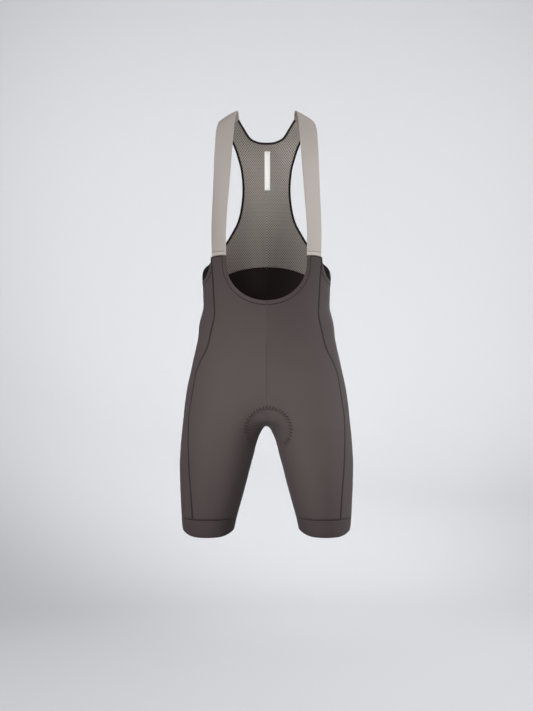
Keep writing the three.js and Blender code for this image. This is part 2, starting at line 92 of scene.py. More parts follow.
SECTIONS = {
    "z": (10, -15, -33, -54, -80, -110, -156, -200, -250, -300, -345, -361, -385,
          -411, -436, -462, -499, -537, -575, -613, -651, -701, -751, -815, -853, -900),
    "outer": (118, 122, 126, 131, 136, 141, 146, 148, 147, 141, 136.5, 134, 133,
              133.5, 137, 142, 148, 156, 165, 171, 175, 180, 182, 180, 178, 173),
    "front": (-10, -30, -50, -66, -80, -90, -98, -102, -103, -100, -99, -99.5, -101,
              -103, -104, -104, -103, -101, -98.5, -96.5, -94, -90, -85, -77, -71.5, -65),
    "back": (4, 28, 45, 66, 83, 94, 99, 97, 91, 83, 77, 76, 74.5,
             75, 79, 86, 99, 112, 120, 120, 112, 100, 90, 78, 70, 62),
    "middle": (0, 0, 0, 0, 0, 0, 0, 0, 0, 0, 0, 0, 0,
               0, 0, 1, 2, 5, 8, 8, 8, 5, 2, 0, -1, -1),
    "square_front": (2.3, 2.3, 2.3, 2.3, 2.3, 2.3, 2.3, 2.3, 2.3, 2.3, 2.3, 2.3, 2.3,
                     2.3, 2.3, 2.3, 2.35, 2.4, 2.4, 2.4, 2.4, 2.25, 2.1, 2.05, 2, 2),
    "square_back": (2.2, 2.2, 2.2, 2.2, 2.2, 2.2, 2.2, 2.2, 2.2, 2.2, 2.2, 2.2, 2.2,
                    2.2, 2.2, 2.2, 2.2, 2.15, 2.1, 2.1, 2.1, 2.05, 2, 2, 2, 2),
}
LEG_SPACE = {
    "z": (-662.5, -664.5, -668, -676, -688, -701, -726, -751, -777, -814, -852, -900),
    "half": (0.2, 4.2, 7.4, 12.2, 17.6, 21.9, 28, 35, 41.5, 51.5, 62, 72),
}
SIDE_SEAMS = {
    "z": (-300, -328, -343.5, -360, -380, -420, -437, -463, -502, -524, -553, -580, -611,
          -645, -683, -721, -759, -797, -860),
    "front": (112.8, 113, 111.6, 110, 109, 107.2, 108.4, 113.7, 123.5, 134.8, 146, 151.5,
              156.4, 161, 161.8, 161, 159, 156, 152),
    "back": (112, 112, 111, 108, 104, 99, 99.5, 104, 113, 121, 130, 136,
             141, 145, 147, 146, 144, 141, 136),
}
TOP_EDGE = {
    "degrees": (138, 140.4, 142.4, 145, 150.8, 160, 172, 182, 200, 218, 235, 245, 253,
                261, 270),
    "z": (-309, -312.5, -324, -334.5, -348.5, -357, -360.2, -360.8, -357.2, -351, -341.5,
          -333.5, -329, -326.2, -325.2),
}
ARM_EDGE = {
    "degrees": (182, 188, 196, 204, 212, 223, 234, 241.4, 245.4, 248.2, 249.4, 248.4, 245.5,
                238, 226),
    "z": (-355.8, -348, -336.5, -327.5, -319.5, -299, -273, -246, -226, -198, -163, -130,
          -101, -63, -33),
}
BACK_NECK = {
    "x": (0, 12, 24, 34, 41, 46, 52.5, 58),
    "z": (-57.5, -57, -54, -48.8, -40.3, -33, -23.6, -15),
}
STRAP = {
    "in_x": (82.5, 83, 81, 77.3, 73.8, 71, 68.7, 66.6, 64.4, 61.4, 59.4, 58),
    "in_y": (-84, -87.5, -90, -88, -80, -66, -47, -28, -13, 0, 14, 28),
    "in_z": (-311, -270, -225, -180, -135, -95, -58, -29, -9.5, 0, -3.5, -14),
    "out_x": (112.6, 113.3, 112.1, 110, 108.6, 107.6, 106.2, 104.5, 101.4, 97.3, 93, 90),
    "out_y": (-65, -69, -73, -72, -66, -55, -40, -25, -11, 4, 20, 36),
    "out_z": (-312.5, -270, -226, -182, -139, -101, -68, -44, -29, -21.5, -23, -32),
    "camber": (1.8, 1.8, 1.8, 1.7, 1.6, 1.5, 1.3, 1.1, 1, 1, 1, 1),
}


# A smooth curve through two columns of a table, without overshoot between its rows
def through(keys, values):
    points = sorted(zip(keys, values))
    xs = [x for x, _ in points]
    ys = [y for _, y in points]
    last = len(xs) - 1
    slope = [(ys[i + 1] - ys[i]) / (xs[i + 1] - xs[i]) for i in range(last)]
    tangent = [slope[0]]
    for i in range(1, last):
        if slope[i - 1] * slope[i] <= 0:
            tangent.append(0.0)
            continue
        before = xs[i] - xs[i - 1]
        after = xs[i + 1] - xs[i]
        mean = (slope[i - 1] * after + slope[i] * before) / (before + after)
        limit = 2 * min(abs(slope[i - 1]), abs(slope[i]))
        tangent.append(math.copysign(min(abs(mean), limit), mean))
    tangent.append(slope[-1])

    def value(at):
        i = min(max(bisect.bisect_left(xs, at) - 1, 0), last - 1)
        span = xs[i + 1] - xs[i]
        t = min(max((at - xs[i]) / span, 0.0), 1.0)
        rise = slope[i] * span
        a = tangent[i] * span - rise
        b = rise - tangent[i + 1] * span
        return ys[i] + t * rise + t * (1 - t) * (a * (1 - t) + b * t)

    return value


def mix(a, b, t):
    return a + (b - a) * t


def smooth(low, high, value):
    t = min(max((value - low) / (high - low), 0.0), 1.0)
    return t * t * (3 - 2 * t)


section = {name: through(SECTIONS["z"], SECTIONS[name]) for name in SECTIONS if name != "z"}
leg_space = through(LEG_SPACE["z"], LEG_SPACE["half"])
front_seam = through(SIDE_SEAMS["z"], SIDE_SEAMS["front"])
back_seam = through(SIDE_SEAMS["z"], SIDE_SEAMS["back"])
top_edge = through(TOP_EDGE["degrees"], TOP_EDGE["z"])


@functools.lru_cache(maxsize=200000)
def oval(z):
    outer = section["outer"](z)
    centre = 0.0
    if z <= CROTCH:
        centre = (outer + leg_space(z)) / 2
    elif z < FORK_TOP:
        fork = ((FORK_TOP - z) / (FORK_TOP - CROTCH)) ** FORK_ONSET
        centre = outer * fork / (1 + fork)
    middle = section["middle"](z)
    return (
        centre,
        middle,
        outer - centre,
        middle - section["front"](z),
        section["back"](z) - middle,
        section["square_front"](z),
        section["square_back"](z),
    )


# The stretched cloth bridges the fold between the thighs, in front and behind
BRIDGE = {"radius": 22, "top": -530, "full": -615, "apex": 14, "reach": 50, "fade": 8}


def bridge_radius(x, z):
    if not CROTCH < z < BRIDGE["top"] or abs(x) > BRIDGE["reach"]:
        return 0.0
    level = smooth(BRIDGE["top"], BRIDGE["full"], z)
    level *= math.sqrt(min((z - CROTCH) / BRIDGE["apex"], 1.0))
    return BRIDGE["radius"] * level * smooth(BRIDGE["reach"], BRIDGE["fade"], abs(x))


# A point of the cloth's outer face: 0 degrees is the inside of the leg, 90 the front,
# 180 the outside and 270 the back
def surface(place):
    point = oval_point(place)
    radius = bridge_radius(point.x, point.z)
    if radius:
        moved = place_across(math.hypot(point.x, radius), point.z, math.sin(place[0]) > 0)
        point.y = oval_point(moved).y
    return point


def oval_point(place):
    angle, z = place
    centre, middle, half, front, back, square_front, square_back = oval(z)
    sine = math.sin(angle)
    cosine = math.cos(angle)
    square, depth = (square_front, front) if sine >= 0 else (square_back, back)
    reach = (abs(cosine) ** square + abs(sine) ** square) ** (-1 / square)
    return Vector((centre - half * reach * cosine, middle - depth * reach * sine, z))


def outward(place):
    angle, z = place
    round_it = surface((angle + 0.004, z)) - surface((angle - 0.004, z))
    down = surface((angle, z - 0.5)) - surface((angle, z + 0.5))
    return down.cross(round_it).normalized()


def place_of(point):
    centre, middle, half, front, back, _, _ = oval(point.z)
    deep = middle - point.y
    angle = math.atan2(deep / (front if deep > 0 else back), (centre - point.x) / half)
    return (angle % (2 * math.pi), point.z)


def place_across(x, z, in_front):
    centre, _, half, _, _, square_front, square_back = oval(z)
    side = min(max((x - centre) / half, -1.0), 1.0)
    square = square_front if in_front else square_back
    deep = (1 - abs(side) ** square) ** (1 / square)
    angle = math.atan2(deep if in_front else -deep, -side)
    return (angle + 2 * math.pi if angle < 0 else angle, z)


def between(a, b, t):
    return (mix(a[0], b[0], t), mix(a[1], b[1], t))


# An edge moved into the cloth, square to itself
def inset(edge, distance):
    points = [surface(place) for place in edge]
    moved = []
    for i, place in enumerate(edge):
        ahead = points[min(i + 1, len(edge) - 1)]
        behind = points[max(i - 1, 0)]
        inwards = (ahead - behind).cross(outward(place)).normalized()
        moved.append(place_of(points[i] + inwards * distance))
    return moved


# An edge resampled evenly along its length
def evenly(edge, count):
    points = [surface(place) for place in edge]
    lengths = [0.0]
    for i in range(1, len(points)):
        lengths.append(lengths[-1] + (points[i] - points[i - 1]).length)
    result = []
    for step in range(count + 1):
        target = lengths[-1] * step / count
        i = min(max(bisect.bisect_left(lengths, target) - 1, 0), len(edge) - 2)
        t = (target - lengths[i]) / max(lengths[i + 1] - lengths[i], 1e-9)
        result.append(between(edge[i], edge[i + 1], t))
    return result


def edge_through(first, second, place_at, steps=390):
    a = through(range(len(first)), first)
    b = through(range(len(second)), second)
    last = len(first) - 1
    return [place_at(a(i * last / steps), b(i * last / steps)) for i in range(steps + 1)]


arm_fine = edge_through(ARM_EDGE["degrees"], ARM_EDGE["z"], lambda d, z: (math.radians(d), z))
neck_fine = edge_through(BACK_NECK["x"], BACK_NECK["z"], lambda x, z: place_across(x, z, False))


# Edges shared by the panels
def middle_front(z):
    return place_across(SEAM_GAP / 2, z, True)


def middle_back(z):
    angle, _ = place_across(SEAM_GAP / 2, z, False)
    return (angle + 2 * math.pi if angle < RIGHT_ANGLE else angle, z)


def seam_front(z):
    return place_across(front_seam(z), z, True)


def seam_back(z):
    return place_across(back_seam(z), z, False)


def strap_base(share):
    z = STRAP_BASE["level"] + STRAP_BASE["slope"] * share
    z += STRAP_BASE["arch"] * 4 * share * (1 - share)
    return place_across(mix(STRAP_BASE["inner"], STRAP_BASE["outer"], share), z, True)


def neckline(run):
    arc = math.pi / 4 * (NECK["half_width"] + NECK["drop"])
    length = arc + NECK["side"] - NECK["centre"]
    at = length * run
    turn = min(at / arc, 1) * RIGHT_ANGLE
    x = max(NECK["half_width"] * math.sin(turn), SEAM_GAP / 2)
    z = NECK["centre"] - NECK["drop"] * math.cos(turn) + max(at - arc, 0)
    return place_across(x, z, True)


def front_top(share):
    if share < NECK_SHARE:
        return neckline(share / NECK_SHARE)
    return strap_base((share - NECK_SHARE) / (1 - NECK_SHARE))


def on_top_edge(angle):
    return (angle, top_edge(math.degrees(angle)))


def side_top(share):
    if share <= 0:
        return strap_base(1)
    return on_top_edge(mix(strap_base(1)[0], math.radians(SIDE_END), share**SIDE_CROWDING))


def seat_top(share):
    return on_top_edge(mix(math.radians(SIDE_END), BEHIND, share))


# Where a body panel lies: share runs across it, and down from its top edge to the band
# Rows of a panel below the join. They crowd onto the crotch level, where the cloth lies
# nearly flat between the legs, and one row lies exactly there.
PANEL_ROWS = 180
ROW_CROWDING = 1.8


def row_level(down, bottom):
    share = (CROTCH - JOIN_LEVEL) / (bottom - JOIN_LEVEL)
    middle = round(PANEL_ROWS * mix(TOP_SHARE, 1, share)) / PANEL_ROWS
    if down < middle:
        away = (middle - down) / (middle - TOP_SHARE)
        return mix(CROTCH, JOIN_LEVEL, away**ROW_CROWDING)
    away = (down - middle) / (1 - middle)
    return mix(CROTCH, bottom, away**ROW_CROWDING)


def panel(top, inner, outer):
    first = top(0)
    last = top(1)
    bottom = BAND_TOP + SEAM_GAP / 2

    @functools.lru_cache(maxsize=4000)
    def edges(down):
        if down < TOP_SHARE:
            t = down / TOP_SHARE
            left = mix(first[1], JOIN_LEVEL, t)
            right = mix(last[1], JOIN_LEVEL, t)
            return inner(left), outer(right), 1 - t
        level = row_level(down, bottom)
        return inner(level), outer(level), 0.0

    @functools.lru_cache(maxsize=4000)
    def pull(share):
        place = top(share)
        straight = between(first, last, share)
        return (place[0] - straight[0], place[1] - straight[1])

    def place(share, down):
        left, right, weight = edges(down)
        angle, z = between(left, right, share)
        if weight:
            turn, rise = pull(share)
            return (angle + weight * turn, z + weight * rise)
        return (angle, z)

    return place


# Soft creases of the stretched cloth: place, run and width of each, its lean, and how far
# it stands up or dips
CREASES = [
    # degrees, z, run, width, lean, height
    (118, -505, 95, 26, 62, -1.3),
    (104, -590, 80, 22, 40, 1.0),
    (70, -648, 46, 11, 35, -1.2),
    (60, -676, 52, 12, 22, 0.8),
    (48, -700, 60, 13, 16, -0.8),
    (128, -655, 90, 20, 78, -1.0),
    (98, -760, 85, 20, 84, 0.7),
    (160, -420, 60, 16, 20, -1.5),
    (175, -450, 70, 17, 14, 1.3),
    (195, -480, 70, 18, -16, -1.5),
    (250, -455, 80, 15, 8, -2.3),
    (244, -482, 90, 15, 12, 1.7),
    (236, -640, 70, 16, 24, -2.5),
    (300, -668, 60, 13, -28, -2.3),
    (286, -690, 70, 14, -18, 1.7),
    (262, -706, 75, 15, 10, -2.1),
    (225, -735, 60, 15, -10, 1.3),
    (255, -790, 70, 16, 6, -1.5),
]
AROUND = 88

# The front panels meet at a soft ridge down the middle
RIDGE = {"height": 5.4, "width": 44, "end": -625}


def ridge(place):
    if math.sin(place[0]) <= 0 or place[1] < RIDGE["end"] - 40:
        return 0.0
    across = abs(surface(place).x) / RIDGE["width"]
    level = smooth(RIDGE["end"] - 40, RIDGE["end"] + 60, place[1])
    return RIDGE["height"] * level * math.exp(-across * 1.1)


def crease(place):
    degrees = math.degrees(place[0])
    height = ridge(place)
    for at, level, run, width, lean, rise in CREASES:
        across = math.radians(degrees - at) * AROUND
        down = place[1] - level
        if abs(across) > 2.4 * run or abs(down) > 2.4 * run:
            continue
        turn = math.radians(lean)
        along = across * math.cos(turn) + down * math.sin(turn)
        aside = down * math.cos(turn) - across * math.sin(turn) + along * along / (7 * run)
        height += rise * math.exp(-((along / run) ** 2)) * math.exp(-((aside / width) ** 2))
    return height


# Meshes
def new_object(name, bm, materials, smooth_faces=True):
    mesh = bpy.data.meshes.new(name)
    bm.to_mesh(mesh)
    bm.free()
    for material in materials:
        mesh.materials.append(material)
    if smooth_faces:
        mesh.polygons.foreach_set("use_smooth", [True] * len(mesh.polygons))
    piece = bpy.data.objects.new(name, mesh)
    bpy.context.scene.collection.objects.link(piece)
    return piece


def solidify(piece, thickness, shaded_inside=0):
    wall = piece.modifiers.new("wall", "SOLIDIFY")
    wall.thickness = thickness * MM
    wall.offset = -1
    wall.material_offset = shaded_inside
    return piece


# A grid of cloth. point(across, down) gives each vertex in millimetres on the wearer's
# left, with its outward direction; side -1 mirrors it to the right.
def cloth(name, columns, rows, point, side, materials, thickness, shaded_inside=0):
    bm = bmesh.new()
    layer = bm.loops.layers.uv.new("UVMap")
    bmesh.ops.create_grid(bm, x_segments=columns, y_segments=rows, size=0.5)
    grid = {}
    for vertex in bm.verts:
        i = round((vertex.co.x + 0.5) * columns)
        j = round((0.5 - vertex.co.y) * rows)
        grid[vertex] = (i, j)
        spot = point(i / columns, j / rows)
        vertex.co = Vector((spot.x * side, spot.y, spot.z)) * MM
    by_row = {place: vertex for vertex, place in grid.items()}
    across = {}
    for j in range(rows + 1):
        run = 0.0
        for i in range(columns + 1):
            if i:
                run += (by_row[i, j].co - by_row[i - 1, j].co).length
            across[i, j] = run
    for face in bm.faces:
        for loop in face.loops:
            place = grid[loop.vert]
            loop[layer].uv = (across[place] * side, loop.vert.co.z)
    bmesh.ops.recalc_face_normals(bm, faces=bm.faces)
    face = by_row[columns // 2, rows // 2].link_faces[0]
    facing = point.facing(0.5, 0.5)
    if face.normal.dot(Vector((facing.x * side, facing.y, facing.z))) < 0:
        bmesh.ops.reverse_faces(bm, faces=bm.faces)
    piece = new_object(name, bm, materials)
    return solidify(piece, thickness, shaded_inside)


class OnSurface:
    """Points of a piece that lies on the form, with its creases and a trim at its edges."""

    def __init__(self, place, lift=0.0, creased=True, trims=(0.12, 0.12)):
        self.place = place
        self.lift = lift
        self.creased = creased
        self.trims = trims

    def facing(self, across, down):
        return outward(self.place(across, down))

    def __call__(self, across, down):
        place = self.place(across, down)
        spot = surface(place)
        height = self.lift + (crease(place) if self.creased else 0.0)
        if height:
            spot = spot + outward(place) * height
        trim = self.trims[0] if across == 0 else self.trims[1] if across == 1 else 0
        if trim:
            beside = surface(self.place(0.02 if across == 0 else 0.98, down))
            step = beside - surface(place)
            if step.length > 1e-6:
                spot = spot + step.normalized() * trim
        return spot


# A closed outline swept through stations. Each station is a point, a direction across
# and an outward direction; the outline gives distances along both.
def sweep(name, stations, outline, materials, side=1, ring=False, open_sheet=0.0):
    bm = bmesh.new()
    layer = bm.loops.layers.uv.new("UVMap")
    columns = len(outline) - 1 if open_sheet else len(outline)
    rows = len(stations) if ring else len(stations) - 1
    bmesh.ops.create_grid(bm, x_segments=columns, y_segments=rows, size=0.5)
    run = [0.0]
    for j in range(1, rows + 1):
        step = stations[j % len(stations)][0] - stations[j - 1][0]
        run.append(run[-1] + step.length)
    around = [0.0]
    for i in range(1, columns + 1):
        a = outline[i % columns]
        b = outline[i - 1]
        around.append(around[-1] + math.hypot(a[0] - b[0], a[1] - b[1]))
    grid = {}
    for vertex in bm.verts:
        i = round((vertex.co.x + 0.5) * columns)
        j = round((0.5 - vertex.co.y) * rows)
        grid[vertex] = (i, j)
        point, across, facing = stations[j % len(stations)]
        a, b = outline[i % columns]
        spot = point + across * a + facing * b
        vertex.co = Vector((spot.x * side, spot.y, spot.z)) * MM
    for face in bm.faces:
        for loop in face.loops:
            i, j = grid[loop.vert]
            loop[layer].uv = (around[i] * MM, run[j] * MM)
    bmesh.ops.remove_doubles(bm, verts=bm.verts, dist=1e-6)
    if not ring and not open_sheet:
        rims = [edge for edge in bm.edges if edge.is_boundary]
        bmesh.ops.holes_fill(bm, edges=rims, sides=0)
    bmesh.ops.recalc_face_normals(bm, faces=bm.faces)
    piece = new_object(name, bm, materials)
    return solidify(piece, open_sheet) if open_sheet else piece


# Outline of a flat band with rounded sides: width across, from low to high
def flat_outline(width, low, high, sides=4):
    outline = []
    half = width / 2
    middle = (low + high) / 2
    radius = (high - low) / 2
    for step in range(7):
        outline.append((mix(-half + radius, half - radius, step / 6), high))
    for step in range(1, sides):
        turn = RIGHT_ANGLE - math.pi * step / sides
        outline.append((half - radius + radius * math.cos(turn), middle + radius * math.sin(turn)))
    for step in range(7):
        outline.append((mix(half - radius, -half + radius, step / 6), low))
    for step in range(1, sides):
        turn = -RIGHT_ANGLE - math.pi * step / sides
        outline.append((-half + radius + radius * math.cos(turn), middle + radius * math.sin(turn)))
    return outline


# Stations along a line of places on the form
def stations_on(line, creased=True):
    points = []
    for place in line:
        height = crease(place) if creased else 0.0
        points.append(surface(place) + outward(place) * height)
    result = []
    for i, place in enumerate(line):
        ahead = points[min(i + 1, len(line) - 1)]
        behind = points[max(i - 1, 0)]
        along = (ahead - behind).normalized()
        facing = outward(place)
        across = along.cross(facing).normalized()
        result.append((points[i], across, across.cross(along).normalized()))
    return result


# Short raised threads laid end to end along stations
def stitches(name, rows, side, material, pitch=2.6, length=2.0, radius=0.26):
    bm = bmesh.new()
    for stations, offset, height in rows:
        lengths = [0.0]
        for i in range(1, len(stations)):
            lengths.append(lengths[-1] + (stations[i][0] - stations[i - 1][0]).length)
        count = int(lengths[-1] / pitch)
        for step in range(count):
            start = (step + 0.5) * pitch - length / 2
            ends = []
            for at in (start, start + length):
                i = min(max(bisect.bisect_left(lengths, at) - 1, 0), len(stations) - 2)
                t = (at - lengths[i]) / max(lengths[i + 1] - lengths[i], 1e-9)
                point = stations[i][0].lerp(stations[i + 1][0], t)
                across = stations[i][1]
                facing = stations[i][2]
                ends.append(point + across * offset + facing * height)
            thread(bm, ends[0], ends[1], radius, side)
    return new_object(name, bm, [material])


def thread(bm, start, end, radius, side):
    a = Vector((start.x * side, start.y, start.z)) * MM
    b = Vector((end.x * side, end.y, end.z)) * MM
    middle = (a + b) / 2
    turn = (b - a).to_track_quat("Z", "Y").to_matrix().to_4x4()
    made = bmesh.ops.create_cone(
        bm, cap_ends=True, segments=6, radius1=1.0, radius2=1.0, depth=2.0
    )
    scale = Vector((radius * MM, radius * MM, (b - a).length / 2))
    bmesh.ops.scale(bm, vec=scale, verts=made["verts"])
    bmesh.ops.transform(bm, matrix=turn, verts=made["verts"])
    bmesh.ops.translate(bm, vec=middle, verts=made["verts"])


# Materials
def linear(red, green, blue):
    def channel(value):
        share = value / 255
        return share / 12.92 if share <= 0.04045 else ((share + 0.055) / 1.055) ** 2.4

    return (channel(red), channel(green), channel(blue), 1.0)


class Finish:
    """One cloth's node tree, built up by small steps."""

    def __init__(self, name, roughness, sheen=0.0, sheen_roughness=0.5, specular=0.3):
        self.material = bpy.data.materials.new(name)
        self.material.use_nodes = True
        self.tree = self.material.node_tree
        self.shader = self.tree.nodes["Principled BSDF"]
        self.shader.inputs["Roughness"].default_value = roughness
        self.shader.inputs["Sheen Weight"].default_value = sheen
        self.shader.inputs["Sheen Roughness"].default_value = sheen_roughness
        self.shader.inputs["Specular IOR Level"].default_value = specular
        self.coordinates = self.tree.nodes.new("ShaderNodeTexCoord")

    def link(self, source, target):
        self.tree.links.new(source, target)

    def node(self, kind, **settings):
        made = self.tree.nodes.new(kind)
        for key, value in settings.items():
            setattr(made, key, value)
        return made

    def math(self, operation, first, second=None):
        made = self.node("ShaderNodeMath", operation=operation)
        for socket, value in zip(made.inputs, (first, second)):
            if value is None:
                continue
            if isinstance(value, (int, float)):
                socket.default_value = value
            else:
                self.link(value, socket)
        return made.outputs[0]

    def axis(self, source, name):
        parts = self.node("ShaderNodeSeparateXYZ")
        self.link(self.coordinates.outputs[source], parts.inputs[0])
        return parts.outputs[name]

    # A wave from 0 to 1 with one crest each pitch, in metres
    def wave(self, axis, pitch, shift=0.0):
        turns = self.math("MULTIPLY", axis, 2 * math.pi / pitch)
        crest = self.math("SINE", self.math("ADD", turns, shift))
        return self.math("ADD", self.math("MULTIPLY", crest, 0.5), 0.5)

    def noise(self, scale, detail=2.0, source="Object", stretch=(1, 1, 1)):
        mapping = self.node("ShaderNodeMapping")
        mapping.inputs["Scale"].default_value = stretch
        self.link(self.coordinates.outputs[source], mapping.inputs["Vector"])
        made = self.node("ShaderNodeTexNoise")
        made.inputs["Scale"].default_value = scale
        made.inputs["Detail"].default_value = detail
        self.link(mapping.outputs[0], made.inputs["Vector"])
        return made.outputs["Fac"]

    def blend(self, factor, low, high):
        made = self.node("ShaderNodeMix", data_type="RGBA")
        self.link(factor, made.inputs["Factor"])
        for socket, value in ((made.inputs["A"], low), (made.inputs["B"], high)):
            if isinstance(value, tuple):
                socket.default_value = value
            else:
                self.link(value, socket)
        return made.outputs["Result"]

    def colour(self, value):
        self.link(value, self.shader.inputs["Base Color"])

    def bump(self, height, distance, strength=1.0):
        made = self.node("ShaderNodeBump")
        made.inputs["Distance"].default_value = distance
        made.inputs["Strength"].default_value = strength
        self.link(height, made.inputs["Height"])
        self.link(made.outputs[0], self.shader.inputs["Normal"])


def shades(colour, spread):
    low = tuple(value * (1 - spread) for value in colour[:3]) + (1.0,)
    high = tuple(value * (1 + spread) for value in colour[:3]) + (1.0,)
    return low, high


# Warp knit: fine wales down the cloth, short courses across, and a faint uneven tone
def knit(name, colour, wale=0.0011, spread=0.05):
    finish = Finish(name, 0.7, sheen=0.1, sheen_roughness=0.4, specular=0.18)
    tone = finish.noise(9, 3, stretch=(1, 1, 0.35))
    low, high = shades(colour, spread)
    base = finish.blend(tone, low, high)
    across = finish.axis("UV", "X")
    down = finish.axis("UV", "Y")
    wales = finish.wave(across, wale)
    courses = finish.wave(down, wale * 0.8)
    loops = finish.math("MULTIPLY", wales, courses)
    dark = tuple(value * 0.86 for value in colour[:3]) + (1.0,)
    speck = finish.math("MULTIPLY", finish.math("SUBTRACT", 1.0, wales), 0.35)
    finish.colour(finish.blend(speck, base, dark))
    finish.bump(finish.math("ADD", wales, finish.math("MULTIPLY", loops, 0.5)), 0.00008, 0.5)
    return finish.material


# Open mesh: staggered holes between diagonal ribs. Its inner face is painted dark under the arm, as
# painted shade.
UNDER_ARM_SHADE = {"from_middle": 113, "below": -300}


def open_mesh(name, thread_colour, hole_colour, painted_shade_colour=None, pitch=0.0052):
    finish = Finish(name, 0.7, sheen=0.2, specular=0.2)
    across = finish.axis("UV", "X")
    down = finish.axis("UV", "Y")
    rising = finish.math("ADD", across, finish.math("MULTIPLY", down, 0.9))
    falling = finish.math("SUBTRACT", across, finish.math("MULTIPLY", down, 0.9))
    lattice = finish.math("MULTIPLY", finish.wave(rising, pitch), finish.wave(falling, pitch))
    hole = finish.math("GREATER_THAN", lattice, 0.42)
    soft = finish.math("MULTIPLY", lattice, 1.3)
    tone = finish.noise(14, 2)
    low, high = shades(thread_colour, 0.07)
    base = finish.blend(tone, low, high)
    depth = finish.math("MULTIPLY", finish.math("ADD", hole, soft), 0.48)
    cloth_tone = finish.blend(depth, base, hole_colour)
    # Painted shade: low down and far from the middle, the inner face takes the dark inside tone
    if painted_shade_colour:
        aside = finish.math("ABSOLUTE", finish.axis("Object", "X"))
        under_arm = finish.math("GREATER_THAN", aside, UNDER_ARM_SHADE["from_middle"] * MM)
        low_down = finish.math("LESS_THAN", finish.axis("Object", "Z"), UNDER_ARM_SHADE["below"] * MM)
        painted_shade_part = finish.math("MULTIPLY", under_arm, low_down)
        cloth_tone = finish.blend(painted_shade_part, cloth_tone, painted_shade_colour)
    finish.colour(cloth_tone)
    finish.bump(finish.math("SUBTRACT", 1.0, lattice), 0.0005, 0.7)
    return finish.material


# Flat elastic: close ribs along the strap and a fine cross weave
def elastic(name, colour):
    finish = Finish(name, 0.55, sheen=0.2, sheen_roughness=0.4, specular=0.25)
    across = finish.axis("UV", "X")
    down = finish.axis("UV", "Y")
    ribs = finish.wave(across, 0.0014)
    weave = finish.wave(down, 0.0009)
    tone = finish.noise(22, 3, stretch=(1, 1, 0.3))
    low, high = shades(colour, 0.03)
    base = finish.blend(tone, low, high)
    dark = tuple(value * 0.9 for value in colour[:3]) + (1.0,)
    finish.colour(finish.blend(finish.math("MULTIPLY", ribs, 0.3), base, dark))
    finish.bump(finish.math("ADD", ribs, finish.math("MULTIPLY", weave, 0.4)), 0.00008, 0.5)
    return finish.material


# Ribbed binding and flat seams: ribs across the run
def ribbed(name, colour, pitch=0.0016, depth=0.00025, spread=0.25, roughness=0.7):
    finish = Finish(name, roughness, sheen=0.15, specular=0.2)
    along = finish.axis("UV", "Y")
    ribs = finish.wave(along, pitch)
    low, high = shades(colour, spread)
    finish.colour(finish.blend(ribs, low, high))
    finish.bump(ribs, depth, 0.8)
    return finish.material


def plain_thread(name, colour):
    finish = Finish(name, 0.6, sheen=0.2, specular=0.3)
    low, high = shades(colour, 0.12)
    finish.colour(finish.blend(finish.noise(900, 2), low, high))
    return finish.material


# Smooth woven tape with fine cross threads
def tape(name, colour):
    finish = Finish(name, 0.5, specular=0.35)
    across = finish.wave(finish.axis("UV", "X"), 0.0006)
    down = finish.wave(finish.axis("UV", "Y"), 0.0006)
    low, high = shades(colour, 0.04)
    finish.colour(finish.blend(finish.math("MULTIPLY", across, down), low, high))
    finish.bump(finish.math("ADD", across, down), 0.00004, 0.5)
    return finish.material


KNIT_TONE = linear(98, 87, 87)
# Painted shade: the inner faces of the knit are coloured far darker than its outer face, for the shade
# inside the garment; the mesh's inner face takes this tone under the arm
INSIDE_SHADE_TONE = linear(33, 23, 24)
finishes = {
    "knit": knit("knit_cloth", KNIT_TONE),
    "shaded_inside": knit("knit_inside", INSIDE_SHADE_TONE),
    "band": knit("band_cloth", linear(92, 81, 82), wale=0.0014),
    "mesh": open_mesh("mesh_cloth", linear(146, 139, 132), linear(58, 52, 48)),
    # The mesh's inner face, with painted shade under the arm
    "mesh_inside": open_mesh(
        "mesh_inside", linear(146, 139, 132), linear(58, 52, 48), INSIDE_SHADE_TONE
    ),
    "elastic": elastic("strap_elastic", linear(193, 184, 177)),
    "strap_hem": elastic("strap_hem_elastic", linear(208, 196, 191)),
    "binding": ribbed("ribbed_binding", linear(30, 22, 23)),
    "flatlock": ribbed("flat_seam", linear(57, 46, 47), pitch=0.0021, depth=0.0002),
    "fold": knit("folded_edge", KNIT_TONE),
    "groove": ribbed("seam_groove", linear(76, 66, 67), spread=0.1),
    "thread": plain_thread("seam_thread", linear(56, 44, 46)),
    "light_thread": plain_thread("strap_thread", linear(140, 128, 123)),
    "pad_thread": plain_thread("pad_thread", linear(36, 27, 28)),
    "label": tape("label_tape", linear(236, 238, 232)),
}

HANDS = (("left", 1), ("right", -1))


def dress(piece, node):
    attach(piece, "root")
    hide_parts(node)


def trim(piece, slot):
    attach(piece, "root")
    return piece


# Lines on the form
def line_down(edge, top, bottom, step=4.0):
    count = max(int((top - bottom) / step), 2)
    return [edge(mix(top, bottom, i / count)) for i in range(count + 1)]


def front_side_line():
    return line_down(seam_front, strap_base(1)[1] - 0.5, BAND_TOP - 0.5)


def back_side_line():
    return line_down(seam_back, top_edge(SIDE_END) - 0.5, BAND_TOP - 0.5)


def neck_line(distance):
    return inset([neckline(i / 60) for i in range(61)], distance)


# The front armhole's fold starts where the side seam leaves the edge
def arm_front_line(distance):
    line = [side_top(i / 80) for i in range(81)]
    ends = (math.radians(143), math.radians(184))
    return inset([place for place in line if ends[0] < place[0] < ends[1]], distance)


def inseam_line():
    return line_down(lambda z: (0.0, z), CROTCH - 2, BAND_TOP - 0.5)


